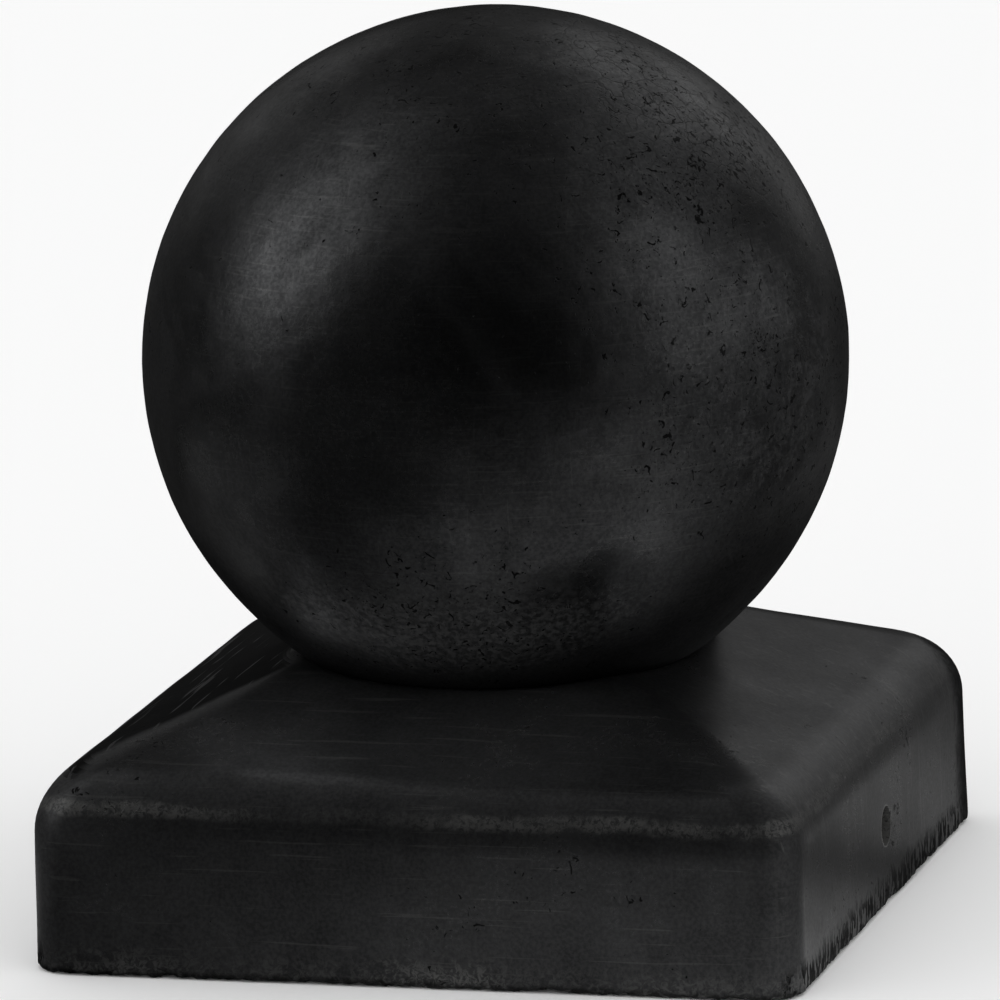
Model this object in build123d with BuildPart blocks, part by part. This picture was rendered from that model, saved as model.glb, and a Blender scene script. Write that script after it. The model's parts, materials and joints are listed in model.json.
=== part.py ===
"""Square pressed-steel post cap with a ball finial.

A thin sheet cap slides over the top of a square fence post. Its low four-sided roof is
pressed down into a round seat, and a hollow steel ball sits in that seat. The ball is two
pressed half shells butt-welded at the equator, and it is welded to the cap from below.

Millimetres. +Z is up. The origin is the centre of the rim, on the surface that the cap
stands on. Each side of the cap faces one of the X and Y axes; the two screw holes are in
the +X and -X sides.
"""
import os
from math import cos, radians, sin, sqrt, tan

from build123d import *

# ---- driving dimensions: the cap -------------------------------------------------------
rim_half_width = 47.0        # half the outside width at the rim
sheet = 1.3                  # thickness of the cap's sheet steel
skirt_flare = 1.15           # degrees that each side of the skirt leans outwards, going down
shoulder_height = 22.4       # where the lines of skirt and roof would meet if nothing were bent
roof_slope = 21.2            # degrees that each roof face falls from the middle to the edge
bend_radius = 8.7            # outer radius of the bend from skirt to roof
corner_radius = 5.2          # outer radius of the four corners, and of the hips above them

# ---- driving dimensions: the screw holes -----------------------------------------------
screw_hole_radius = 2.4      # clears a 4.5 mm screw
screw_hole_height = 9.9

# ---- driving dimensions: the ball and its seat -----------------------------------------
ball_radius = 42.5
ball_wall = 1.5
ball_centre_height = 65.9
vent_radius = 4.0            # hole in the bottom of the ball, for venting and draining
seat_radius = 24.0           # circle where the roof's outer surface meets the ball
seat_rise = 24.0             # degrees that the pressed seat rises, going outwards
seat_hole_radius = 22.0      # hole in the middle of the seat

# ---- driving dimensions: the welds -----------------------------------------------------
groove_half_width = 1.6      # half the width of the equator weld, at the ball's outside
groove_half_root = 0.4       # the same, at the ball's inside
root_bead = 0.6              # how far the equator weld stands out inside the ball
seat_bead_radius = 2.0       # section radius of the weld under the seat

# ---- worked out from the driving dimensions --------------------------------------------
flare_tan = tan(radians(skirt_flare))
flare_cos = cos(radians(skirt_flare))
slope_tan = tan(radians(roof_slope))
slope_cos = cos(radians(roof_slope))
rise_tan = tan(radians(seat_rise))
rise_cos = cos(radians(seat_rise))

shoulder_half_width = rim_half_width - shoulder_height * flare_tan
roof_height = shoulder_height + shoulder_half_width * slope_tan
seat_height = ball_centre_height - sqrt(ball_radius**2 - seat_radius**2)
ball_inner_radius = ball_radius - ball_wall

below_rim = 2.0              # how far the cavity's cutter reaches below the rim
flat_half_width = 14.0       # the roof stops at this half width, well inside the seat's hole
seat_cutter_radius = 40.0
above_roof = roof_height + 5.0


def skirt_half_width(height, inset):
    """Half width of the skirt at a height, for a surface inset below the outer one."""
    return rim_half_width - height * flare_tan - inset / flare_cos


def roof_level(half_width, inset):
    """Height of a roof face at a distance from the axis, for an inset surface."""
    return roof_height - half_width * slope_tan - inset / slope_cos


def shoulder_point(inset):
    """Where the skirt line and the roof line of an inset surface meet."""
    roof_gap = roof_level(0, inset) - skirt_half_width(0, inset) * slope_tan
    height = roof_gap / (1 - flare_tan * slope_tan)
    return skirt_half_width(height, inset), height


def seat_level(radius, inset):
    """Height of the pressed seat at a radius, for an inset surface."""
    return seat_height + (radius - seat_radius) * rise_tan - inset / rise_cos


def side_profile(inset, bottom):
    """Corners of one side view of the cap: rim, shoulders and the flat that tops the roof."""
    shoulder_x, shoulder_z = shoulder_point(inset)
    rim_x = skirt_half_width(bottom, inset)
    flat_z = roof_level(flat_half_width, inset)
    right_side = [(rim_x, bottom), (shoulder_x, shoulder_z), (flat_half_width, flat_z)]
    left_side = [(-x, z) for x, z in reversed(right_side)]
    return right_side + left_side


def cap_body(inset, bottom):
    """The solid under the cap's outer surface, or under a surface inset from it.

    The side profile runs through the body along X and along Y, and what the two share is
    the cap, with mitred corners that are then rounded from the rim to the roof's flat.
    """
    with BuildPart() as body:
        for side_plane, mode in ((Plane.XZ, Mode.ADD), (Plane.YZ, Mode.INTERSECT)):
            with BuildSketch(side_plane) as side_view:
                with BuildLine():
                    Polyline(*side_profile(inset, bottom), close=True)
                make_face()
                shoulders = side_view.vertices().group_by(Axis.Y)[1]
                fillet(shoulders, radius=bend_radius - inset)
            extrude(amount=rim_half_width + below_rim, both=True, mode=mode)
        fillet(body.edges().filter_by(lies_on_a_diagonal), radius=corner_radius - inset)
        with BuildSketch(Plane.XZ):
            with BuildLine():
                Polyline(
                    (0, seat_level(0, inset)),
                    (seat_cutter_radius, seat_level(seat_cutter_radius, inset)),
                    (seat_cutter_radius, above_roof),
                    (0, above_roof),
                    close=True,
                )
            make_face()
        revolve(axis=Axis.Z, mode=Mode.SUBTRACT)
    return body.part


def lies_on_a_diagonal(edge):
    """True for the four mitred corner lines: skirt corners, bend mitres and roof hips."""
    middle = edge.center()
    return abs(abs(middle.X) - abs(middle.Y)) < 0.01 and abs(middle.X) > flat_half_width


# ---- the cap: sheet of even thickness, open below, with a round hole for the ball -------
with BuildPart() as cap_shell:
    add(cap_body(0, 0))
    add(cap_body(sheet, -below_rim), mode=Mode.SUBTRACT)
    with Locations((0, 0, ball_centre_height)):
        Sphere(ball_radius, mode=Mode.SUBTRACT)
    with BuildSketch(Plane.XY):
        Circle(seat_hole_radius)
    extrude(amount=above_roof, mode=Mode.SUBTRACT)
    with BuildSketch(Plane.YZ):
        with Locations((0, screw_hole_height)):
            Circle(screw_hole_radius)
    extrude(amount=rim_half_width + below_rim, both=True, mode=Mode.SUBTRACT)
cap_shell.part.label = "cap_shell"


def half_shell_section(side, first_radius):
    """Section of one half of the ball; side is +1 for the upper half, -1 for the lower.

    Gives three points of the outer arc, from the pole to the equator, and three of the
    inner arc, back again. first_radius is where the section starts: the axis or the vent.
    """
    slant = sin(radians(45))
    arcs = []
    for radius, edge in ((ball_radius, groove_half_width), (ball_inner_radius, groove_half_root)):
        pole = (first_radius, side * sqrt(radius**2 - first_radius**2))
        middle = (radius * slant, side * radius * slant)
        arcs.append([pole, middle, (sqrt(radius**2 - edge**2), side * edge)])
    outer_arc, inner_arc = arcs
    return outer_arc, inner_arc[::-1]


ball_plane = Plane(origin=(0, 0, ball_centre_height), x_dir=(1, 0, 0), z_dir=(0, -1, 0))

# ---- the ball: two pressed half shells, bevelled at the equator for the weld ------------
with BuildPart() as ball_upper_half:
    with BuildSketch(ball_plane):
        outside, inside = half_shell_section(1, 0)
        with BuildLine():
            ThreePointArc(*outside)
            Line(outside[-1], inside[0])
            ThreePointArc(*inside)
            Line(inside[-1], outside[0])
        make_face()
    revolve(axis=Axis.Z)
ball_upper_half.part.label = "ball_upper_half"

with BuildPart() as ball_lower_half:
    with BuildSketch(ball_plane):
        outside, inside = half_shell_section(-1, vent_radius)
        with BuildLine():
            ThreePointArc(*outside)
            Line(outside[-1], inside[0])
            ThreePointArc(*inside)
            Line(inside[-1], outside[0])
        make_face()
    revolve(axis=Axis.Z)
ball_lower_half.part.label = "ball_lower_half"

# ---- the equator weld: fills the bevels, ground flush outside, with a bead inside -------
with BuildPart() as ball_seam_weld:
    with BuildSketch(ball_plane):
        face_edge = sqrt(ball_radius**2 - groove_half_width**2)
        root_edge = sqrt(ball_inner_radius**2 - groove_half_root**2)
        with BuildLine():
            ThreePointArc(
                (face_edge, -groove_half_width), (ball_radius, 0), (face_edge, groove_half_width)
            )
            Line((face_edge, groove_half_width), (root_edge, groove_half_root))
            ThreePointArc(
                (root_edge, groove_half_root),
                (ball_inner_radius - root_bead, 0),
                (root_edge, -groove_half_root),
            )
            Line((root_edge, -groove_half_root), (face_edge, -groove_half_width))
        make_face()
    revolve(axis=Axis.Z)
ball_seam_weld.part.label = "ball_seam_weld"

# ---- the seat weld: a bead under the cap, round the edge of the seat's hole -------------
with BuildPart() as seat_weld:
    with BuildSketch(Plane.XZ):
        with Locations((seat_hole_radius, seat_level(seat_hole_radius, sheet))):
            Circle(seat_bead_radius)
    revolve(axis=Axis.Z)
    add(cap_shell.part, mode=Mode.SUBTRACT)
    with Locations((0, 0, ball_centre_height)):
        Sphere(ball_radius, mode=Mode.SUBTRACT)
seat_weld.part.label = "seat_weld"

# ---- one file for each piece ------------------------------------------------------------
os.makedirs("parts", exist_ok=True)
for piece in (cap_shell, ball_upper_half, ball_lower_half, ball_seam_weld, seat_weld):
    export_step(piece.part, f"parts/{piece.part.label}.step")
    print(piece.part.label, piece.part.is_valid, len(piece.part.solids()), round(piece.part.volume, 1))
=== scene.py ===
"""Looks of a square steel post cap with a ball finial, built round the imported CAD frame.

Metres, +Z up, in the frame of the CAD model: the cap stands on z = 0 with its middle on the
Z axis. Every piece is a mesh made here from the cap's few sizes, slightly uneven as pressed
and hot-dipped steel is, and painted with node materials.
"""
import json
import math

import bmesh
import bpy
import numpy as np
from mathutils import Matrix, Vector, noise


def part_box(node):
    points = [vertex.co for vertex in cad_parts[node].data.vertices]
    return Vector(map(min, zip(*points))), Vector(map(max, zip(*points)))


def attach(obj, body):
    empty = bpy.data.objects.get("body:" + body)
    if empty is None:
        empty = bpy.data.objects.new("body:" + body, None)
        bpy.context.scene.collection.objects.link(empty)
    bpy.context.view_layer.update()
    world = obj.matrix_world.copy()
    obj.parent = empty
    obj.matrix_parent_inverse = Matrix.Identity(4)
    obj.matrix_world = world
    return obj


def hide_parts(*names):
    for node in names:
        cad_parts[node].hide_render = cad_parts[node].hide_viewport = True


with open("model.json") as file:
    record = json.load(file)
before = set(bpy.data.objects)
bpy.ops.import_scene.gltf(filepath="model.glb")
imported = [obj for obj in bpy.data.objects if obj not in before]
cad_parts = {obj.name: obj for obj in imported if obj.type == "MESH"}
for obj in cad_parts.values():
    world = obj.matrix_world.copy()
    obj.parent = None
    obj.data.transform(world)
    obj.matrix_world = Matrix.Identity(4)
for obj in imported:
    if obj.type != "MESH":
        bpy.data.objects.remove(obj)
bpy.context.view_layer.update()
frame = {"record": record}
MM = 0.001

# ---- sizes read from the frame ---------------------------------------------------------
cap_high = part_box("cap_shell")[1]
weld_low, weld_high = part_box("ball_seam_weld")
ball_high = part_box("ball_upper_half")[1]
seat_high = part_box("seat_weld")[1]
holes = [m for m in frame["record"]["mounts"] if m["kind"] == "bore"]

rim_half = cap_high.x
ball_centre = (weld_low.z + weld_high.z) / 2
ball_radius = ball_high.z - ball_centre
weld_half_width = (weld_high.z - weld_low.z) / 2
seat_radius = seat_high.x
hole_height = holes[0]["pos_m"][2]
hole_radius = holes[0]["dims"]["r_mm"] * MM

# ---- sizes that the frame doesn't state ------------------------------------------------
sheet = 1.3 * MM
ball_wall = 1.5 * MM
flare = math.radians(1.15)
slope = math.radians(21.2)
seat_rise = math.radians(24)
shoulder_height = 22.4 * MM
bend_radius = 8.7 * MM
corner_radius = 5.2 * MM
seat_hole = 22 * MM
vent_radius = 4 * MM
seat_bead = 2 * MM

shoulder_half = rim_half - shoulder_height * math.tan(flare)
roof_height = shoulder_height + shoulder_half * math.tan(slope)
seat_height = ball_centre - math.sqrt(ball_radius**2 - seat_radius**2)


# ---- the direction of view -------------------------------------------------------------
CAMERA_AZIMUTH = math.radians(15.49)
CAMERA_ELEVATION = math.radians(12.04)
CAMERA_ROLL = math.radians(-1.74)
CAMERA_DISTANCE = 30 * rim_half
# The camera stands off from a point on the axis, and looks at another one lower down.
ORBIT_HEIGHT = 1.1743 * rim_half
AIM_HEIGHT = 0.0485
LENS = 423.2
SENSOR_WIDTH = 36
CLIP_END = 20

camera_back = Vector((
    math.sin(CAMERA_AZIMUTH) * math.cos(CAMERA_ELEVATION),
    -math.cos(CAMERA_AZIMUTH) * math.cos(CAMERA_ELEVATION),
    math.sin(CAMERA_ELEVATION),
))
camera_right = Vector((math.cos(CAMERA_AZIMUTH), math.sin(CAMERA_AZIMUTH), 0))
camera_up = camera_back.cross(camera_right)


def seen_direction(right, up, back):
    """A world direction from parts along the camera's right, up and back axes."""
    return (camera_right * right + camera_up * up + camera_back * back).normalized()


# ---- mesh helpers ----------------------------------------------------------------------
def merge_corners(mesh):
    """Joins corners that fall on one point, so that no face is left without an area."""
    bm = bmesh.new()
    bm.from_mesh(mesh)
    bmesh.ops.remove_doubles(bm, verts=bm.verts, dist=0.002 * MM)
    bm.to_mesh(mesh)
    bm.free()


def make_piece(name, vertices, faces, material, smooth_angle=40):
    """A smooth-shaded mesh object, sharp only where its faces turn more than an angle."""
    mesh = bpy.data.meshes.new(name)
    mesh.from_pydata([tuple(v) for v in vertices], [], faces)
    merge_corners(mesh)
    mesh.validate()
    mesh.polygons.foreach_set("use_smooth", [True] * len(mesh.polygons))
    mesh.set_sharp_from_angle(angle=math.radians(smooth_angle))
    piece = bpy.data.objects.new(name, mesh)
    bpy.context.scene.collection.objects.link(piece)
    mesh.materials.append(material)
    return piece


def join_loops(loop_count, per_loop, closed=False):
    """Quads between loops of vertices, each loop a closed ring, one after another."""
    faces = []
    last = loop_count if closed else loop_count - 1
    for i in range(last):
        row = i * per_loop
        above = ((i + 1) % loop_count) * per_loop
        for j in range(per_loop):
            k = (j + 1) % per_loop
            faces.append((row + j, row + k, above + k, above + j))
    return faces


def unevenness(points, size, octaves=3, seed=0.0):
    """Smooth noise at each point, about -1 to 1, with features of a size in metres."""
    shift = Vector((seed, 2.7 * seed, -1.3 * seed))
    values = np.empty(len(points))
    for i, p in enumerate(points):
        values[i] = noise.fractal(Vector(p) / size + shift, 0.6, 2.0, octaves)
    return values


# ---- the cap's surface -----------------------------------------------------------------
SIDE_STEPS = 150
CORNER_STEPS = 24
LOOP_POINTS = 4 * (SIDE_STEPS + CORNER_STEPS)


def rounded_square(half, radius):
    """Plan points of a square loop with rounded corners, anticlockwise from the +X side."""
    straight = half - radius
    points = []
    for quarter in range(4):
        turn = Matrix.Rotation(quarter * math.pi / 2, 2)
        for i in range(SIDE_STEPS):
            along = -straight + 2 * straight * i / SIDE_STEPS
            points.append(turn @ Vector((half, along)))
        for i in range(CORNER_STEPS):
            angle = math.pi / 2 * i / CORNER_STEPS
            offset = Vector((math.cos(angle), math.sin(angle))) * radius
            points.append(turn @ (Vector((straight, straight)) + offset))
    return np.array([tuple(p) for p in points])


def skirt_half(height, inset):
    """Half width of the skirt at a height, for a surface inset below the outer one."""
    return rim_half - height * math.tan(flare) - inset / math.cos(flare)


def bend_arc(inset, steps):
    """Half widths and heights round the bend, for a surface inset below the outer one."""
    radius = bend_radius - inset
    normals = np.array(
        [[math.cos(flare), math.sin(flare)], [math.sin(slope), math.cos(slope)]]
    )
    reach = np.array([rim_half * math.cos(flare), roof_height * math.cos(slope)])
    centre = np.linalg.solve(normals, reach - inset - radius)
    angles = np.linspace(flare, math.pi / 2 - slope, steps)
    return [(centre[0] + radius * math.cos(a), centre[1] + radius * math.sin(a)) for a in angles]


def roof_surface(plan, inset):
    """Roof heights over plan points: four faces with softened hips, and the round seat."""
    far = np.abs(plan).max(axis=1)
    near = np.abs(plan).min(axis=1)
    hip_softness = 2.4 * MM
    widest = (far + near + np.sqrt((far - near) ** 2 + hip_softness**2)) / 2
    roof = roof_height - inset / math.cos(slope) - widest * math.tan(slope)
    radius = np.hypot(plan[:, 0], plan[:, 1])
    seat = seat_height - inset / math.cos(seat_rise) + (radius - seat_radius) * math.tan(seat_rise)
    seat_softness = 0.8 * MM
    return (roof + seat - np.sqrt((roof - seat) ** 2 + seat_softness**2)) / 2


def roof_loops(start_plan, start_height, inset, end_radius, steps):
    """Loops from the top of the bend in to a circle round the axis, on the roof surface."""
    reach = np.hypot(start_plan[:, 0], start_plan[:, 1])[:, None]
    end_plan = start_plan / reach * end_radius
    end_height = seat_height - inset / math.cos(seat_rise)
    end_height += (end_radius - seat_radius) * math.tan(seat_rise)
    start_gap = start_height - roof_surface(start_plan, inset)
    end_gap = end_height - roof_surface(end_plan, inset)
    loops = []
    for share in np.linspace(0, 1, steps)[1:]:
        plan = start_plan * (1 - share) + end_plan * share
        height = roof_surface(plan, inset)
        height = height + start_gap * (1 - share) + end_gap * share
        loops.append(np.c_[plan, height])
    return loops


def cap_side_loops(inset, skirt_steps, bend_steps, roof_steps, end_radius):
    """All loops of one surface of the sheet, from just above the rim to the seat."""
    radius = corner_radius - inset
    arc = bend_arc(inset, bend_steps)
    loops = []
    rim_roll = sheet / 2
    for height in np.linspace(rim_roll**0.5, arc[0][1] ** 0.5, skirt_steps) ** 2:
        plan = rounded_square(skirt_half(height, inset), radius)
        loops.append(np.c_[plan, np.full(LOOP_POINTS, height)])
    for half, height in arc[1:]:
        plan = rounded_square(half, radius)
        loops.append(np.c_[plan, np.full(LOOP_POINTS, height)])
    loops += roof_loops(plan, arc[-1][1], inset, end_radius, roof_steps)
    return loops


def rim_edge_loops():
    """Loops round the rolled edge of the rim, from the inner surface to the outer one."""
    loops = []
    middle = sheet / 2
    for angle in np.linspace(math.pi, 0, 9)[1:-1]:
        inset = middle - middle * math.cos(angle)
        height = middle - middle * math.sin(angle)
        plan = rounded_square(skirt_half(height, inset), corner_radius - inset)
        loops.append(np.c_[plan, np.full(LOOP_POINTS, height)])
    return loops


def uneven_cap(points):
    """Moves cap points a little, as pressing, handling and dipping leave the sheet."""
    height = points[:, 2]
    outward = points * np.array([1, 1, 0])
    outward /= np.linalg.norm(outward, axis=1)[:, None]
    wave_size, wave_depth, wave_inset = 22 * MM, 0.16 * MM, 0.18 * MM
    crumb_size, crumb_depth, crumb_inset = 1.5 * MM, 0.30 * MM, 0.05 * MM
    lump_size, rim_lift, rim_reach = 7 * MM, 0.45 * MM, 1.1 * MM
    roof_start, roof_fade = 0.8 * shoulder_height, 6 * MM
    dent_size, dent_depth = 16 * MM, 0.14 * MM
    near_rim = np.exp(-height / rim_reach)
    skirt = np.clip(1 - height / shoulder_height, 0, 1)
    waves = unevenness(points, wave_size, 2, 3.1) * wave_depth
    crumbs = np.abs(unevenness(points, crumb_size, 4, 8.4))
    lumps = np.abs(unevenness(points, lump_size, 3, 5.2))
    inward = (-crumb_inset - crumbs * crumb_depth) * near_rim
    push = inward + (waves - wave_inset) * skirt
    moved = points + outward * push[:, None]
    lift = (crumbs + lumps) * rim_lift * near_rim
    roof = np.clip((height - roof_start) / roof_fade, 0, 1)
    settle = unevenness(points, dent_size, 2, 1.7) * dent_depth * roof
    at_seat = np.hypot(points[:, 0], points[:, 1]) < seat_radius + 0.5 * MM
    moved[:, 2] += lift + np.where(at_seat, 0, settle)
    return moved


def cut_screw_holes(piece):
    """Bores the two screw holes through the skirt, along X."""
    bm = bmesh.new()
    turn = Matrix.Rotation(math.pi / 2, 4, "Y")
    place = Matrix.Translation((0, 0, hole_height))
    bmesh.ops.create_cone(
        bm, cap_ends=True, segments=48, radius1=hole_radius, radius2=hole_radius,
        depth=4 * rim_half, matrix=place @ turn,
    )
    mesh = bpy.data.meshes.new("hole_cutter")
    bm.to_mesh(mesh)
    bm.free()
    cutter = bpy.data.objects.new("hole_cutter", mesh)
    bpy.context.scene.collection.objects.link(cutter)
    cut = piece.modifiers.new("screw holes", "BOOLEAN")
    cut.object = cutter
    cut.operation = "DIFFERENCE"
    cut.solver = "EXACT"
    graph = bpy.context.evaluated_depsgraph_get()
    result = bpy.data.meshes.new_from_object(piece.evaluated_get(graph))
    piece.modifiers.clear()
    merge_corners(result)
    piece.data = result
    bpy.data.objects.remove(cutter)


def build_cap(material):
    """The pressed cap as one closed skin: outer surface, rolled rim and inner surface."""
    outer = cap_side_loops(0, 46, 14, 44, seat_radius)
    inner = cap_side_loops(sheet, 12, 7, 14, seat_radius - 0.5 * MM)
    ring = outer[-1][:, :2] / seat_radius
    seat_band = []
    for radius in np.linspace(seat_radius, seat_hole, 4)[1:]:
        height = ball_centre - math.sqrt(ball_radius**2 - radius**2)
        seat_band.append(np.c_[ring * radius, np.full(LOOP_POINTS, height)])
    under = seat_height - sheet / math.cos(seat_rise)
    under -= (seat_radius - seat_hole) * math.tan(seat_rise)
    hole_foot = [np.c_[ring * seat_hole, np.full(LOOP_POINTS, under)]]
    loops = rim_edge_loops() + outer + seat_band + hole_foot + inner[::-1]
    points = uneven_cap(np.vstack(loops))
    faces = join_loops(len(loops), LOOP_POINTS, closed=True)
    piece = make_piece("pressed_cap", points, faces, material)
    cut_screw_holes(piece)
    piece.data.set_sharp_from_angle(angle=math.radians(40))
    return piece


# ---- the ball --------------------------------------------------------------------------
BALL_STEPS = 96
TINY = 1e-6


def ball_point(direction):
    """Point on the ball's slightly uneven surface, in a direction from its centre."""
    broad_depth, small_depth, clearance = 0.10 * MM, 0.045 * MM, 0.02 * MM
    even_below, fade = -0.80, 0.1
    d = Vector(direction).normalized()
    broad = noise.fractal(d * 2.1 + Vector((4.2, 0, 1)), 0.6, 2.0, 2)
    small = noise.fractal(d * 6.5 + Vector((0, 7.7, 3)), 0.6, 2.0, 3)
    depth = broad_depth * (1 + broad) + small_depth * (1 + small)
    above_seat = min(1.0, max(0.0, (d.z - even_below) / fade))
    return d * (ball_radius - clearance - depth * above_seat)


def ball_normal(direction):
    """Outward normal of that surface, from four points close together."""
    d = Vector(direction).normalized()
    side = d.orthogonal().normalized()
    other = d.cross(side)
    step = 0.004
    across = ball_point(d + side * step) - ball_point(d - side * step)
    along = ball_point(d + other * step) - ball_point(d - other * step)
    return across.cross(along).normalized()


def cube_sphere_grid():
    """Directions and quads of a sphere made of six square patches of even size."""
    directions = []
    index = {}
    faces = []
    spread = [math.tan(math.pi / 4 * (2 * i / BALL_STEPS - 1)) for i in range(BALL_STEPS + 1)]

    def vertex(p):
        key = tuple(round(c, 9) for c in p)
        if key not in index:
            index[key] = len(directions)
            directions.append(Vector(p).normalized())
        return index[key]

    for axis in range(3):
        for sign in (-1, 1):
            for i in range(BALL_STEPS):
                for j in range(BALL_STEPS):
                    quad = []
                    for a, b in ((i, j), (i + 1, j), (i + 1, j + 1), (i, j + 1)):
                        p = [0.0, 0.0, 0.0]
                        p[axis] = float(sign)
                        p[(axis + 1) % 3] = spread[a]
                        p[(axis + 2) % 3] = spread[b]
                        quad.append(vertex(p))
                    faces.append(quad if sign > 0 else quad[::-1])
    return directions, faces


def clamp_to_weld(direction, side):
    """Moves a direction near the equator on to the edge of the weld's band."""
    edge = weld_half_width / ball_radius
    if side * direction.z >= edge:
        return direction
    flat = Vector((direction.x, direction.y, 0)).normalized()
    return flat * math.sqrt(1 - edge**2) + Vector((0, 0, side * edge))


def clamp_to_vent(direction):
    """Moves a direction near the ball's foot on to the edge of the vent."""
    edge = vent_radius / ball_radius
    flat = Vector((direction.x, direction.y, 0))
    if direction.z > 0 or flat.length >= edge:
        return direction
    return flat.normalized() * edge + Vector((0, 0, -math.sqrt(1 - edge**2)))


def faces_of_half(directions, faces, side):
    """Faces of the whole sphere that belong to one half, less those inside the vent."""
    edge = weld_half_width / ball_radius
    kept = []
    for face in faces:
        corners = [directions[i] for i in face]
        heights = [side * c.z for c in corners]
        radii = [math.hypot(c.x, c.y) for c in corners]
        if max(heights) <= edge + TINY:
            continue
        if side < 0 and min(heights) > 0 and max(radii) < vent_radius / ball_radius:
            continue
        kept.append(face)
    return kept


def clamp_to_edges(direction, side):
    """Brings a direction on to the edge of the weld or of the vent, where it is near one."""
    edge = weld_half_width / ball_radius
    step = math.pi / 2 / BALL_STEPS
    height = side * direction.z
    if height < edge + 0.45 * step:
        just_under = side * min(height, edge - 1e-9)
        direction = clamp_to_weld(Vector((direction.x, direction.y, just_under)), side)
    return clamp_to_vent(direction) if side < 0 else direction


def edge_walls(faces, count):
    """Faces between the outer and the inner surface, along edges that only one face has."""
    edge_use = {}
    for face in faces:
        for a, b in zip(face, face[1:] + face[:1]):
            edge_use[(a, b)] = True
    return [(b, a, a + count, b + count) for a, b in edge_use if (b, a) not in edge_use]


def build_ball_half(name, side, material):
    """Half of the ball as a shell with a wall, from the weld's edge to the pole."""
    directions, all_faces = cube_sphere_grid()
    kept = faces_of_half(directions, all_faces, side)
    used = sorted({i for face in kept for i in face})
    renumber = {old: new for new, old in enumerate(used)}
    outer = [clamp_to_edges(directions[i], side) for i in used]
    faces = [tuple(renumber[i] for i in face) for face in kept]
    count = len(outer)
    inner_radius = ball_radius - ball_wall
    centre = Vector((0, 0, ball_centre))
    points = [ball_point(d) + centre for d in outer]
    points += [d * inner_radius + centre for d in outer]
    inner_faces = [tuple(i + count for i in face[::-1]) for face in faces]
    all_of_it = faces + inner_faces + edge_walls(faces, count)
    piece = make_piece(name, points, all_of_it, material)
    set_ball_normals(piece, centre)
    return piece


def set_ball_normals(piece, centre):
    """Exact normals on the outside, so that the halves and the weld shade as one ball."""
    mesh = piece.data
    normals = [n.vector.copy() for n in mesh.corner_normals]
    wall_inside = ball_radius - ball_wall / 2
    cache = {}
    for polygon in mesh.polygons:
        middle = polygon.center - centre
        faces_out = polygon.normal.dot(middle.normalized()) >= 0.7
        if middle.length < wall_inside or not faces_out:
            continue
        for loop_index in polygon.loop_indices:
            v = mesh.loops[loop_index].vertex_index
            if v not in cache:
                cache[v] = ball_normal(mesh.vertices[v].co - centre)
            normals[loop_index] = cache[v]
    mesh.normals_split_custom_set(normals)


def build_seam_weld(material):
    """The ground weld at the equator: flush outside, with a rippled bead inside."""
    around = 4 * BALL_STEPS
    groove_root = 0.4 * MM
    bead = 0.6 * MM
    ripples, ripple_depth = 120, 0.15 * MM
    inner_radius = ball_radius - ball_wall
    loops = []
    for height in np.linspace(-weld_half_width, weld_half_width, 7):
        loops.append([("outer", a, height) for a in range(around)])
    loops.append([("inner", a, groove_root) for a in range(around)])
    loops.append([("bead", a, 0.0) for a in range(around)])
    loops.append([("inner", a, -groove_root) for a in range(around)])
    points = []
    for loop in loops:
        for kind, a, height in loop:
            angle = 2 * math.pi * a / around
            flat = Vector((math.cos(angle), math.sin(angle), 0))
            if kind == "outer":
                d = flat * math.sqrt(ball_radius**2 - height**2) + Vector((0, 0, height))
                points.append(ball_point(d))
            else:
                ripple = ripple_depth * math.sin(angle * ripples)
                radius = inner_radius - (bead + ripple if kind == "bead" else 0)
                points.append(flat * radius + Vector((0, 0, height)))
    centre = Vector((0, 0, ball_centre))
    points = [p + centre for p in points]
    piece = make_piece("equator_weld", points, join_loops(len(loops), around, True), material)
    set_ball_normals(piece, centre)
    return piece


def build_seat_weld(material):
    """The bead under the cap, with the ripples that a welding torch leaves."""
    around = 720
    section = 14
    ripples, ripple_depth, wander_depth = 84, 0.07, 0.05
    middle = seat_height - sheet / math.cos(seat_rise)
    middle -= (seat_radius - seat_hole) * math.tan(seat_rise)
    points = []
    for i in range(section):
        turn = 2 * math.pi * i / section
        for a in range(around):
            angle = 2 * math.pi * a / around
            wave = abs(math.sin(angle * ripples / 2 + 0.5 * math.cos(turn)))
            ripple = 1 - ripple_depth * (1 - wave)
            place = Vector((3 * math.cos(angle), 3 * math.sin(angle), 2))
            wander = 1 - wander_depth * (1 + noise.noise(place))
            size = seat_bead * ripple * wander
            radius = seat_hole + size * math.cos(turn)
            height = middle + size * math.sin(turn)
            points.append((radius * math.cos(angle), radius * math.sin(angle), height))
    return make_piece("seat_bead", points, join_loops(section, around, True), material)


# ---- materials -------------------------------------------------------------------------
# Brightness of each finish, its roughness and how metallic it is.
BALL_FINISH = (0.058, 0.27, 0.985)
CAP_FINISH = (0.050, 0.30, 0.90)
WELD_FINISH = (0.080, 0.45, 0.90)

# Colours as shares of a finish's brightness: dark and light patches, bare wear and painted highlight,
# soot and painted shade.
DARK_TINT = (0.55, 0.56, 0.58)
LIGHT_TINT = (1.40, 1.41, 1.44)
BARE_AND_HIGHLIGHT_TINT = (3.4, 3.4, 3.3)
SOOT_AND_SHADE_TINT = (0.10, 0.10, 0.10)

# How far patches move the roughness, what dulled and pitted places add to it, how much of
# the metal full dust hides, and how deep the relief is.
SHADE_ROUGHNESS = 0.05
DULLED_ROUGHNESS = 0.22
PITTED_ROUGHNESS = 0.2
DUST_LOSS_OF_METAL = 0.22
RELIEF_DEPTH = 0.08 * MM


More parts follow.
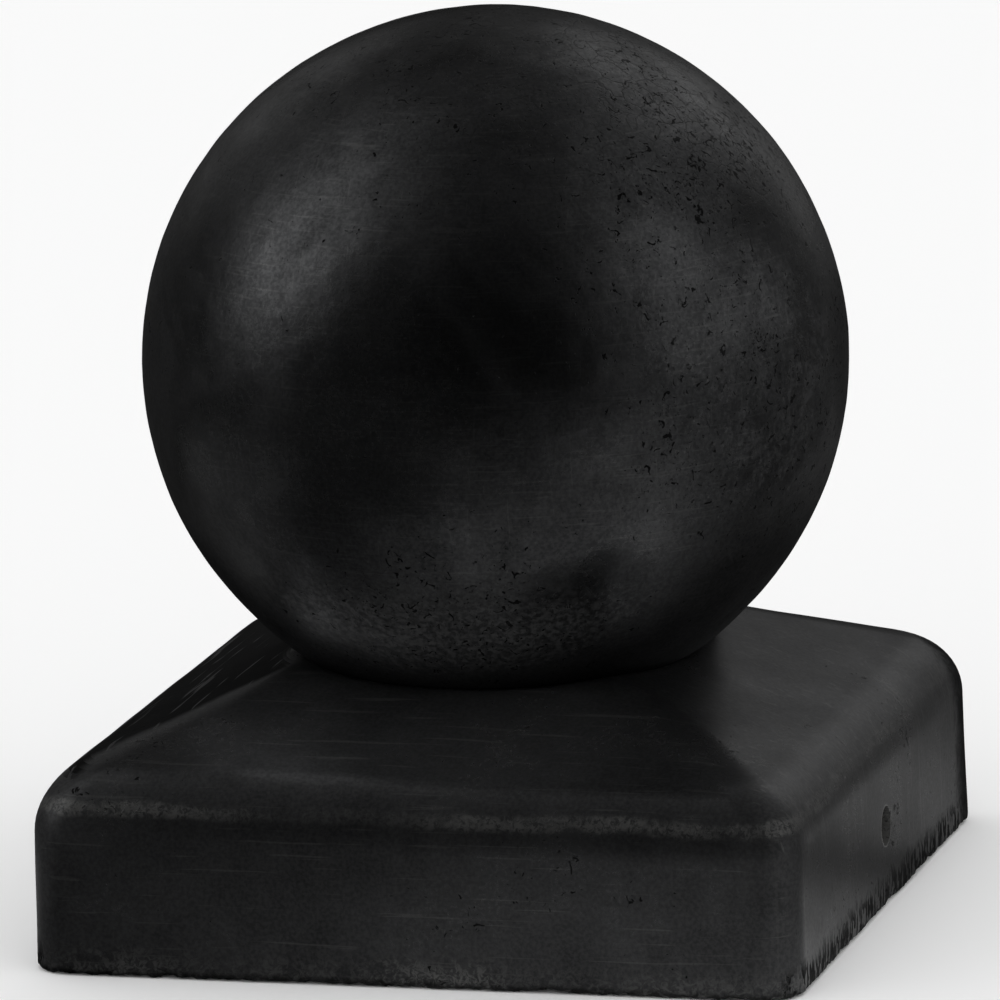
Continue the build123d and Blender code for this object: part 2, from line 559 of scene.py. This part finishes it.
class Tree:
    """Short forms for building a node tree."""

    def __init__(self, tree):
        self.tree = tree
        self.tree.nodes.clear()

    def add(self, kind, **settings):
        node = self.tree.nodes.new(kind)
        for key, value in settings.items():
            setattr(node, key, value)
        return node

    def link(self, source, target):
        self.tree.links.new(source, target)

    def put(self, socket, value):
        if isinstance(value, bpy.types.NodeSocket):
            self.link(value, socket)
        else:
            socket.default_value = value

    def math(self, operation, a, b=0.0, clamp=False):
        node = self.add("ShaderNodeMath", operation=operation, use_clamp=clamp)
        self.put(node.inputs[0], a)
        self.put(node.inputs[1], b)
        return node.outputs[0]

    def chain(self, operation, values):
        """One operation on all values, taken in turn."""
        total = values[0]
        for value in values[1:]:
            total = self.math(operation, total, value)
        return total

    def plus(self, *values):
        return self.chain("ADD", values)

    def times(self, *values):
        return self.chain("MULTIPLY", values)

    def most(self, *values):
        return self.chain("MAXIMUM", values)

    def size(self, value):
        return self.math("ABSOLUTE", value)

    def rest(self, share):
        return self.math("SUBTRACT", 1, share)

    def parts(self, vector):
        """The X, Y and Z parts of a vector."""
        node = self.add("ShaderNodeSeparateXYZ")
        self.link(vector, node.inputs[0])
        return [node.outputs[axis] for axis in "XYZ"]

    def dot(self, vector, direction):
        node = self.add("ShaderNodeVectorMath", operation="DOT_PRODUCT")
        self.link(vector, node.inputs[0])
        node.inputs[1].default_value = direction
        return node.outputs["Value"]

    def length(self, vector):
        node = self.add("ShaderNodeVectorMath", operation="LENGTH")
        self.link(vector, node.inputs[0])
        return node.outputs["Value"]

    def unit(self, vector):
        node = self.add("ShaderNodeVectorMath", operation="NORMALIZE")
        self.link(vector, node.inputs[0])
        return node.outputs[0]

    def ramp(self, value, low, high, out_low=0.0, out_high=1.0, smooth=True):
        node = self.add("ShaderNodeMapRange")
        node.interpolation_type = "SMOOTHSTEP" if smooth else "LINEAR"
        self.put(node.inputs["Value"], value)
        node.inputs["From Min"].default_value = low
        node.inputs["From Max"].default_value = high
        node.inputs["To Min"].default_value = out_low
        node.inputs["To Max"].default_value = out_high
        return node.outputs["Result"]

    def mix(self, share, first, second):
        node = self.add("ShaderNodeMix", data_type="RGBA")
        self.put(node.inputs[0], share)
        self.put(node.inputs[6], first)
        self.put(node.inputs[7], second)
        return node.outputs[2]


class Nodes(Tree):
    """One material, with short forms for its patterns."""

    def __init__(self, name):
        self.material = bpy.data.materials.new(name)
        self.material.use_nodes = True
        super().__init__(self.material.node_tree)
        self.output = self.add("ShaderNodeOutputMaterial")
        self.shader = self.add("ShaderNodeBsdfPrincipled")
        self.link(self.shader.outputs[0], self.output.inputs["Surface"])
        self.position = self.add("ShaderNodeTexCoord").outputs["Object"]

    def noise(self, scale, detail=4.0, roughness=0.55, distortion=0.0):
        node = self.add("ShaderNodeTexNoise")
        self.link(self.position, node.inputs["Vector"])
        node.inputs["Scale"].default_value = scale
        node.inputs["Detail"].default_value = detail
        node.inputs["Roughness"].default_value = roughness
        node.inputs["Distortion"].default_value = distortion
        return node.outputs["Fac"]


def specks(nodes, scale, area, threshold):
    """Small irregular pits, like commas, crowded where an area mask is high."""
    sparse = 0.14
    edge = 0.035
    fine = nodes.noise(scale, 2, 0.5, distortion=1.2)
    limit = nodes.ramp(area, 0, 1, threshold + sparse, threshold, smooth=False)
    above = nodes.math("SUBTRACT", fine, limit)
    return nodes.ramp(above, 0, edge)


def fine_lines(nodes, stretch, turn, threshold, strength):
    """Faint straight scratches: noise drawn out along one direction, turned by an angle."""
    edge = 0.07
    mapping = nodes.add("ShaderNodeMapping")
    nodes.link(nodes.position, mapping.inputs["Vector"])
    mapping.inputs["Rotation"].default_value = [math.radians(a) for a in turn]
    mapping.inputs["Scale"].default_value = stretch
    node = nodes.add("ShaderNodeTexNoise")
    nodes.link(mapping.outputs[0], node.inputs["Vector"])
    node.inputs["Scale"].default_value = 1.0
    node.inputs["Detail"].default_value = 2.0
    return nodes.ramp(node.outputs["Fac"], threshold, threshold + edge, 0, strength)


def crackle(nodes, scale, width):
    """A web of thin dark lines, where the finish has crazed."""
    bend_scale = 1.3 * scale
    bend_reach = 0.9 / scale
    bend = nodes.add("ShaderNodeTexNoise")
    nodes.link(nodes.position, bend.inputs["Vector"])
    bend.inputs["Scale"].default_value = bend_scale
    bend.inputs["Detail"].default_value = 3
    shift = nodes.add("ShaderNodeVectorMath", operation="SCALE")
    nodes.link(bend.outputs["Color"], shift.inputs[0])
    shift.inputs["Scale"].default_value = bend_reach
    moved = nodes.add("ShaderNodeVectorMath", operation="ADD")
    nodes.link(nodes.position, moved.inputs[0])
    nodes.link(shift.outputs[0], moved.inputs[1])
    cells = nodes.add("ShaderNodeTexVoronoi", feature="DISTANCE_TO_EDGE")
    nodes.link(moved.outputs[0], cells.inputs["Vector"])
    cells.inputs["Scale"].default_value = scale
    return nodes.ramp(cells.outputs["Distance"], 0, width, 1, 0)


def tinted(tone, tint):
    """The colour of a finish's brightness under a tint."""
    return (*[tone * part for part in tint], 1)


def steel_surface(nodes, finish, masks, shade):
    """Joins masks into the colour, gloss and relief of a dark finish over dipped steel."""
    tone, roughness, metal = finish
    pits, lightening, darkening, dulled, dust = masks
    soot_and_shade = tinted(tone, SOOT_AND_SHADE_TINT)
    colour = nodes.mix(shade, tinted(tone, DARK_TINT), tinted(tone, LIGHT_TINT))
    # Lighter: bare wear and scratches, and also painted highlights and reflections where a mask carries
    # them.
    colour = nodes.mix(lightening, colour, tinted(tone, BARE_AND_HIGHLIGHT_TINT))
    # Darker: marks, crazing and soot, and also painted shade where a mask carries it.
    colour = nodes.mix(nodes.times(darkening, 0.85), colour, soot_and_shade)
    colour = nodes.mix(nodes.times(pits, 0.9), colour, soot_and_shade)
    nodes.link(colour, nodes.shader.inputs["Base Color"])
    metallic = nodes.ramp(dust, 0, 1, metal, metal - DUST_LOSS_OF_METAL)
    nodes.link(metallic, nodes.shader.inputs["Metallic"])
    dark_rough, light_rough = roughness + SHADE_ROUGHNESS, roughness - SHADE_ROUGHNESS
    rough = nodes.ramp(shade, 0, 1, dark_rough, light_rough, smooth=False)
    dull = nodes.times(dulled, DULLED_ROUGHNESS)
    rough = nodes.plus(rough, dull, nodes.times(pits, PITTED_ROUGHNESS))
    nodes.link(rough, nodes.shader.inputs["Roughness"])
    fine = nodes.times(nodes.noise(1700, 2, 0.6), 0.34)
    grain = nodes.plus(fine, nodes.times(nodes.noise(420, 3, 0.6), 0.5))
    marks = nodes.plus(nodes.times(darkening, 0.5), nodes.times(lightening, 0.35))
    hollows = nodes.plus(nodes.times(pits, 0.9), marks)
    bump = nodes.add("ShaderNodeBump")
    bump.inputs["Strength"].default_value = 0.5
    bump.inputs["Distance"].default_value = RELIEF_DEPTH
    nodes.link(nodes.math("SUBTRACT", grain, hollows), bump.inputs["Height"])
    nodes.link(bump.outputs["Normal"], nodes.shader.inputs["Normal"])


def soft_shade(nodes):
    """Clouds, patches and grain added up to one value, about 0 to 1."""
    clouds = nodes.ramp(nodes.noise(42, 5, 0.6, distortion=0.5), 0.33, 0.68)
    patches = nodes.ramp(nodes.noise(170, 5, 0.65, distortion=0.6), 0.34, 0.68)
    grain = nodes.ramp(nodes.noise(2100, 2, 0.6), 0.3, 0.7)
    return nodes.plus(nodes.times(clouds, 0.34), nodes.times(patches, 0.26), nodes.times(grain, 0.40))


def on_ball(nodes, right, up, back, low, high):
    """Mask of the ball round a direction from its centre, full where the cosine is high."""
    offset = nodes.add("ShaderNodeVectorMath", operation="SUBTRACT")
    nodes.link(nodes.position, offset.inputs[0])
    offset.inputs[1].default_value = (0, 0, ball_centre)
    cosine = nodes.dot(nodes.unit(offset.outputs[0]), seen_direction(right, up, back))
    return nodes.ramp(cosine, low, high)


def ball_pits(nodes, areas, right, top):
    """Pits of two sizes, and the mask of where they crowd."""
    low = on_ball(nodes, -0.1, -0.8, 0.5, 0.8, 0.97)
    crowd = nodes.plus(nodes.times(right, 0.6), nodes.times(low, 0.5), nodes.times(top, 0.6))
    crowd = nodes.math("ADD", crowd, nodes.times(areas, 0.45), clamp=True)
    large = specks(nodes, 900, crowd, 0.60)
    small = nodes.times(specks(nodes, 2000, crowd, 0.62), 0.7)
    return nodes.most(large, small), crowd


def ball_scratches(nodes, crowd):
    """Fine lines in two directions, and light spots among the pits."""
    lines = fine_lines(nodes, (150, 150, 3600), (12, 4, 0), 0.60, 0.10)
    more = fine_lines(nodes, (3400, 140, 170), (0, 24, 30), 0.66, 0.10)
    spots = nodes.ramp(nodes.noise(1500, 3, 0.7), 0.60, 0.74, 0, 0.35)
    return nodes.most(lines, more, nodes.times(spots, crowd))


def ball_dust_and_reflection(nodes, front, crown):
    """Sandy foot in front, also a painted reflection; and all the dust: that and pale swirls on the
    right and top.
    """
    height = nodes.parts(nodes.position)[2]
    low_band = nodes.ramp(height, 39 * MM, 50 * MM, 1, 0)
    sand = nodes.ramp(nodes.noise(1300, 4, 0.7), 0.40, 0.62, 0.35, 1)
    foot = nodes.times(low_band, front, sand)
    swirl = nodes.ramp(nodes.noise(75, 4, 0.65, distortion=2.4), 0.42, 0.60, 0.40, 1)
    flank = on_ball(nodes, 0.77, -0.07, 0.63, 0.87, 0.97)
    bloom = nodes.times(nodes.most(flank, crown), swirl, sand)
    return foot, nodes.most(foot, bloom)


def ball_painted_shade(nodes, front):
    """Painted shade: the underside darker and duller, except in front, and a darker, duller patch on
    the far right.
    """
    height = nodes.parts(nodes.position)[2]
    low_sides = nodes.times(nodes.ramp(height, 44 * MM, 58 * MM, 1, 0), nodes.rest(front))
    far_right = on_ball(nodes, 0.97, 0.0, 0.12, 0.955, 0.995)
    return nodes.most(low_sides, nodes.times(far_right, 0.7))


def ball_steel():
    """Ball finish: polished, pitted on the right, the top and the foot, crazed near the top."""
    nodes = Nodes("ball_steel")
    areas = nodes.ramp(nodes.noise(38, 4, 0.6, distortion=0.6), 0.42, 0.66)
    right = on_ball(nodes, 0.8, 0.0, 0.5, 0.62, 0.9)
    top = on_ball(nodes, 0.2, 0.9, 0.2, 0.55, 0.9)
    crown = on_ball(nodes, 0.57, 0.76, 0.31, 0.87, 0.96)
    front = on_ball(nodes, -0.2, 0.0, 0.98, 0.32, 0.62)
    pits, crowd = ball_pits(nodes, areas, right, top)
    crazed = nodes.most(nodes.times(top, areas), crown)
    web = nodes.times(crackle(nodes, 330, 0.05), crazed, 0.8)
    smudge = nodes.ramp(nodes.noise(95, 5, 0.7, distortion=1.5), 0.57, 0.74, 0, 0.55)
    smudge = nodes.times(smudge, nodes.most(right, 0.15))
    foot, dust = ball_dust_and_reflection(nodes, front, crown)
    # Painted shade: the ball's underside and its far right side are darkened in colour.
    painted_ball_shade = ball_painted_shade(nodes, front)
    # The foot's lighter colour is sandy dust and also a painted reflection of the floor in front.
    lightening = nodes.most(ball_scratches(nodes, crowd), nodes.times(foot, 0.22))
    darkening = nodes.most(web, smudge, nodes.times(painted_ball_shade, 0.7))
    dulled = nodes.most(areas, nodes.times(painted_ball_shade, 2.4))
    masks = (pits, lightening, darkening, dulled, dust)
    steel_surface(nodes, BALL_FINISH, masks, soft_shade(nodes))
    return nodes.material


class CapPlaces:
    """Where a point lies on the cap, which way the sheet faces, and masks of sides and roof."""

    def __init__(self, nodes):
        self.x, self.y, self.height = nodes.parts(nodes.position)
        normal = nodes.add("ShaderNodeNewGeometry").outputs["True Normal"]
        self.facing_x, self.facing_y, self.facing_up = nodes.parts(normal)
        self.broken = nodes.noise(260, 4, 0.7, distortion=0.8)
        self.on_sides = nodes.ramp(nodes.size(self.facing_x), 0.5, 0.8)
        self.on_roof = nodes.ramp(self.facing_up, 0.7, 0.9)


def worn_bend_and_highlight(nodes, places):
    """A broken light line where the skirt bends over into the roof: wear, and also a painted highlight.
    """
    line_low, line_middle, line_high = 18.9 * MM, 20.9 * MM, 23.2 * MM
    level = nodes.plus(places.height, nodes.times(nodes.noise(60, 2), 1.6 * MM))
    below = nodes.ramp(level, line_low, line_middle)
    above = nodes.ramp(level, line_middle, line_high, 1, 0)
    light_line = nodes.ramp(nodes.times(below, above, places.broken), 0.22, 0.52, 0, 0.70)
    torn = nodes.ramp(nodes.noise(1400, 5, 0.75, distortion=0.8), 0.38, 0.58)
    gaps = nodes.ramp(nodes.noise(34, 2), 0.40, 0.58, 0.3, 1)
    return nodes.times(light_line, torn, gaps)


def coated_rim(nodes, places):
    """The rim's rough strip, the light crumbs on it and the dark lowest edge."""
    ragged = nodes.plus(places.height, nodes.times(places.broken, 4 * MM))
    strip = nodes.ramp(ragged, 2.2 * MM, 7.0 * MM, 1, 0)
    strip = nodes.times(strip, nodes.ramp(nodes.noise(38, 2), 0.42, 0.6, 0.35, 1))
    crumbs = nodes.ramp(nodes.noise(1100, 4, 0.75, distortion=1.0), 0.44, 0.60)
    ragged = nodes.plus(places.height, nodes.times(places.broken, 1.8 * MM))
    edge = nodes.ramp(ragged, 1.3 * MM, 2.3 * MM, 1, 0)
    edge = nodes.times(edge, nodes.ramp(nodes.noise(700, 4, 0.7), 0.38, 0.52))
    return strip, nodes.times(strip, crumbs, 0.8), edge


def cap_scratches(nodes, places):
    """Upright lines on two sides, level and slanting ones on the others, some on the roof."""
    on_front = nodes.ramp(nodes.size(places.facing_y), 0.5, 0.8)
    upright = fine_lines(nodes, (700, 1500, 26), (4, 3, 0), 0.60, 0.30)
    level = fine_lines(nodes, (36, 60, 3400), (0, 6, 0), 0.69, 0.22)
    slant = fine_lines(nodes, (70, 500, 2200), (0, -32, 0), 0.64, 0.18)
    roof = fine_lines(nodes, (60, 1500, 1500), (0, 21, 18), 0.62, 0.26)
    return nodes.most(
        nodes.times(upright, places.on_sides),
        nodes.times(nodes.most(level, slant), on_front),
        nodes.times(roof, places.on_roof),
    )


def left_roof_shade(nodes, places):
    """Painted shade on the roof's left face, left out along thin streaks."""
    # Painted shade: the roof's left face is darkened in colour.
    left = nodes.ramp(places.facing_x, -0.34, -0.20, 1, 0)
    flat = nodes.ramp(places.facing_up, 0.80, 0.90)
    streaks = fine_lines(nodes, (950, 45, 950), (0, 0, 5), 0.60, 1.0)
    return nodes.times(left, flat, nodes.rest(streaks))


def side_strokes(nodes, places):
    """Short dark slanting strokes along the foot of the two sides."""
    ragged = nodes.plus(places.height, nodes.times(places.broken, 5 * MM))
    foot = nodes.ramp(ragged, 4.2 * MM, 7.2 * MM, 1, 0)
    strokes = fine_lines(nodes, (1300, 1100, 380), (40, 0, 0), 0.44, 0.9)
    return nodes.times(foot, places.on_sides, strokes)


def far_corner_shade(nodes, places):
    """Painted shade on the right side, next to the corner at the back."""
    # Painted shade: this corner is darkened in colour.
    ragged = nodes.plus(places.y, nodes.times(places.broken, 6 * MM))
    back = nodes.ramp(ragged, 39.0 * MM, 45.0 * MM)
    return nodes.times(back, nodes.ramp(places.facing_x, 0.15, 0.4))


def dusty_front(nodes, places):
    """A thin film of dust on the roof in front of the ball."""
    forward = nodes.ramp(places.y, -26 * MM, -18 * MM, 0.55, 0)
    middle = nodes.ramp(nodes.size(places.x), 14 * MM, 34 * MM, 1, 0)
    return nodes.times(forward, middle, places.on_roof)


def dull_corners(nodes, places):
    """The upper part of the four rounded corners, which is duller."""
    inner = nodes.math("MINIMUM", nodes.size(places.x), nodes.size(places.y))
    return nodes.times(nodes.ramp(inner, 37 * MM, 43 * MM), nodes.ramp(places.height, 11 * MM, 17 * MM))


def bare_hole_edges(nodes, places):
    """Bare metal in the walls of the screw holes, and in a thin ring round them."""
    offset = nodes.add("ShaderNodeCombineXYZ")
    nodes.link(places.y, offset.inputs["Y"])
    nodes.link(nodes.math("SUBTRACT", places.height, hole_height), offset.inputs["Z"])
    distance = nodes.length(offset.outputs[0])
    near = nodes.ramp(distance, 1.03 * hole_radius, 1.1 * hole_radius, 1, 0)
    at_side = nodes.ramp(nodes.size(places.x), 0.9 * rim_half, 0.92 * rim_half)
    return nodes.times(near, at_side)


def cap_steel():
    """Cap finish: scratched faces, a worn bend line that is also a painted highlight, a crumbly rim,
    painted shade, thin dust.
    """
    nodes = Nodes("cap_steel")
    places = CapPlaces(nodes)
    areas = nodes.ramp(nodes.noise(45, 4, 0.6, distortion=0.6), 0.44, 0.66)
    rim_strip, rim_crumbs, rim_edge = coated_rim(nodes, places)
    # Painted shade on the left roof face and the far corner, with dark strokes at the sides' foot; all
    # of it also duller.
    matt_and_shade = nodes.most(
        left_roof_shade(nodes, places), side_strokes(nodes, places), far_corner_shade(nodes, places)
    )
    bare = bare_hole_edges(nodes, places)
    # The bend line is wear and also a painted highlight along the bend.
    lightening = nodes.most(cap_scratches(nodes, places), worn_bend_and_highlight(nodes, places), rim_crumbs, bare)
    darkening = nodes.most(rim_edge, matt_and_shade)
    dulled = nodes.most(rim_strip, nodes.times(matt_and_shade, 3), dull_corners(nodes, places))
    dust = nodes.most(bare, nodes.times(rim_crumbs, 0.6), dusty_front(nodes, places))
    masks = (specks(nodes, 900, areas, 0.64), lightening, darkening, dulled, dust)
    steel_surface(nodes, CAP_FINISH, masks, soft_shade(nodes))
    return nodes.material


def weld_steel():
    """Weld finish: duller and paler, with specks of spatter."""
    nodes = Nodes("weld_steel")
    areas = nodes.ramp(nodes.noise(200, 4, 0.6), 0.4, 0.6)
    pits = specks(nodes, 1500, areas, 0.6)
    lightening = nodes.ramp(nodes.noise(700, 2), 0.62, 0.75, 0, 0.3)
    darkening = nodes.ramp(nodes.noise(300, 4), 0.55, 0.7, 0, 0.5)
    masks = (pits, lightening, darkening, areas, lightening)
    steel_surface(nodes, WELD_FINISH, masks, soft_shade(nodes))
    return nodes.material


# ---- floor, light and camera -----------------------------------------------------------
# Soft lights seen in reflections: direction as right, up and back from the camera, strength.
SOFT_LIGHTS = [
    (-0.89, 0.43, 0.13, 1.55),   # window on the left
    (-0.51, 0.86, 0.03, 0.52),
    (-0.68, 0.70, 0.20, 0.48),
    (-0.99, 0.12, -0.03, 0.18),
    (0.99, 0.05, -0.11, 0.85),   # wall on the right
    (0.81, 0.42, 0.41, 0.75),
    (0.65, 0.72, 0.25, 0.50),
    (0.56, 0.81, -0.17, 0.22),
    (0.86, -0.08, 0.47, 0.55),
    (0.42, 0.72, -0.55, 0.80),   # light from above and behind
    (0.52, 0.33, -0.79, 0.23),
    (-0.42, 0.52, -0.74, 0.20),
    (-0.45, 0.60, -0.66, 0.12),
    (0.04, 1.00, -0.07, 0.18),   # ceiling
    (-0.57, -0.10, 0.80, 0.06),  # front, on the left
    (-0.41, 0.58, 0.71, 0.12),
]
LIGHT_SHARPNESS = 24

# Gain of a second reflection, and the ray depth that parts it from the first one, which the
# world counts one higher than the floor does.
SECOND_REFLECTION = 6.5
FLOOR_FIRST_DEPTH = 1.5
WORLD_FIRST_DEPTH = 2.5

# Painted pools of light on the floor, seen only in reflections: turn from the camera's right, half
# angle, how far from the Z axis the part starts to fade, brightness.
FLOOR_LIGHT_POOLS = [
    (275, 65, 0.075, 0.37),
    (290, 50, 0.20, 0.17),
    (322, 42, 0.45, 0.30),
    (0, 40, 0.052, 0.10),
    (26, 18, 0.10, 0.18),
    (38, 26, 0.50, 0.07),
    (178, 34, 0.20, 0.19),
    (240, 50, 1.00, 0.05),
]
FLOOR_SIZE = 8
# The floor's dark painted colour in reflections, outside the pools of light.
FLOOR_BASE = 0.004
FLOOR_FADE = 1.6
FLOOR_WHITE = (0.97, 0.97, 0.97, 1)


def later_reflections(tree, first_depth):
    """Gain of light met in a second reflection, from one piece by way of another."""
    depth = tree.add("ShaderNodeLightPath").outputs["Ray Depth"]
    later = tree.math("GREATER_THAN", depth, first_depth)
    return tree.plus(1, tree.times(later, SECOND_REFLECTION - 1))


def build_floor():
    """A plain pale floor, painted darker in reflections, with painted pools of light as in a dim
    studio.
    """
    bpy.ops.mesh.primitive_plane_add(size=FLOOR_SIZE)
    floor = bpy.context.object
    floor.name = "floor"
    nodes = Nodes("pale_floor")
    nodes.shader.inputs["Roughness"].default_value = 0.9
    nodes.shader.inputs["Specular IOR Level"].default_value = 0.1
    place = nodes.unit(nodes.position)
    distance = nodes.length(nodes.position)
    away = Vector((-camera_right.y, camera_right.x, 0))
    # Painted light: the floor's colour in reflections, a dark base with pools of light added.
    shade = FLOOR_BASE
    for turn, half_angle, reach, brightness in FLOOR_LIGHT_POOLS:
        angle = math.radians(turn)
        toward = camera_right * math.cos(angle) + away * math.sin(angle)
        edge = math.cos(math.radians(half_angle))
        part = nodes.ramp(nodes.dot(place, toward), edge, 1, 0, brightness)
        fade = nodes.ramp(distance, reach, FLOOR_FADE * reach, 1, 0)
        shade = nodes.plus(nodes.times(part, fade), shade)
    gain = later_reflections(nodes, FLOOR_FIRST_DEPTH)
    shade = nodes.math("MULTIPLY", shade, gain, clamp=True)
    # Seen directly the floor is evenly white; reflections see the painted light.
    glossy = nodes.add("ShaderNodeLightPath").outputs["Is Glossy Ray"]
    colour = nodes.mix(glossy, FLOOR_WHITE, shade)
    nodes.link(colour, nodes.shader.inputs["Base Color"])
    floor.data.materials.append(nodes.material)


def build_world():
    """White all round for the eye; for reflections, a dim studio with soft lights."""
    world = bpy.data.worlds.new("studio")
    bpy.context.scene.world = world
    world.use_nodes = True
    world.cycles.sampling_method = "NONE"
    tree = Tree(world.node_tree)
    direction = tree.add("ShaderNodeTexCoord").outputs["Generated"]
    total = 0.0
    for right, up, back, strength in SOFT_LIGHTS:
        cosine = tree.dot(direction, seen_direction(right, up, back))
        falloff = tree.times(tree.math("SUBTRACT", cosine, 1), LIGHT_SHARPNESS)
        glow = tree.times(tree.math("EXPONENT", falloff), strength)
        total = tree.plus(glow, total)
    total = tree.times(total, later_reflections(tree, WORLD_FIRST_DEPTH))
    glossy = tree.add("ShaderNodeLightPath").outputs["Is Glossy Ray"]
    background = tree.add("ShaderNodeBackground")
    tree.link(tree.mix(glossy, (1, 1, 1, 1), total), background.inputs["Color"])
    output = tree.add("ShaderNodeOutputWorld")
    tree.link(background.outputs[0], output.inputs[0])


def build_camera():
    """The camera, aimed at the middle of the object and rolled a little."""
    camera = bpy.data.objects.new("camera", bpy.data.cameras.new("camera"))
    bpy.context.scene.collection.objects.link(camera)
    location = Vector((0, 0, ORBIT_HEIGHT)) + camera_back * CAMERA_DISTANCE
    aim = Vector((0, 0, AIM_HEIGHT))
    back = (location - aim).normalized()
    right = Vector((0, 0, 1)).cross(back).normalized()
    up = back.cross(right)
    rolled_right = right * math.cos(CAMERA_ROLL) + up * math.sin(CAMERA_ROLL)
    rolled_up = up * math.cos(CAMERA_ROLL) - right * math.sin(CAMERA_ROLL)
    axes = Matrix((rolled_right, rolled_up, back)).transposed().to_4x4()
    camera.matrix_world = Matrix.Translation(location) @ axes
    camera.data.lens = LENS
    camera.data.sensor_width = SENSOR_WIDTH
    camera.data.clip_end = CLIP_END
    bpy.context.scene.camera = camera


# ---- the object ------------------------------------------------------------------------
cap_material = cap_steel()
ball_material = ball_steel()
weld_material = weld_steel()
built = [
    (build_cap(cap_material), "cap_shell", "cap_steel"),
    (build_ball_half("ball_upper", 1, ball_material), "ball_upper_half", "ball_steel"),
    (build_ball_half("ball_lower", -1, ball_material), "ball_lower_half", "ball_steel"),
    (build_seam_weld(ball_material), "ball_seam_weld", "ball_steel"),
    (build_seat_weld(weld_material), "seat_weld", "weld_metal"),
]
for piece, node, slot in built:
    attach(piece, "root")
    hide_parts(node)

build_floor()
build_world()
build_camera()
bpy.context.scene.view_settings.view_transform = "Standard"
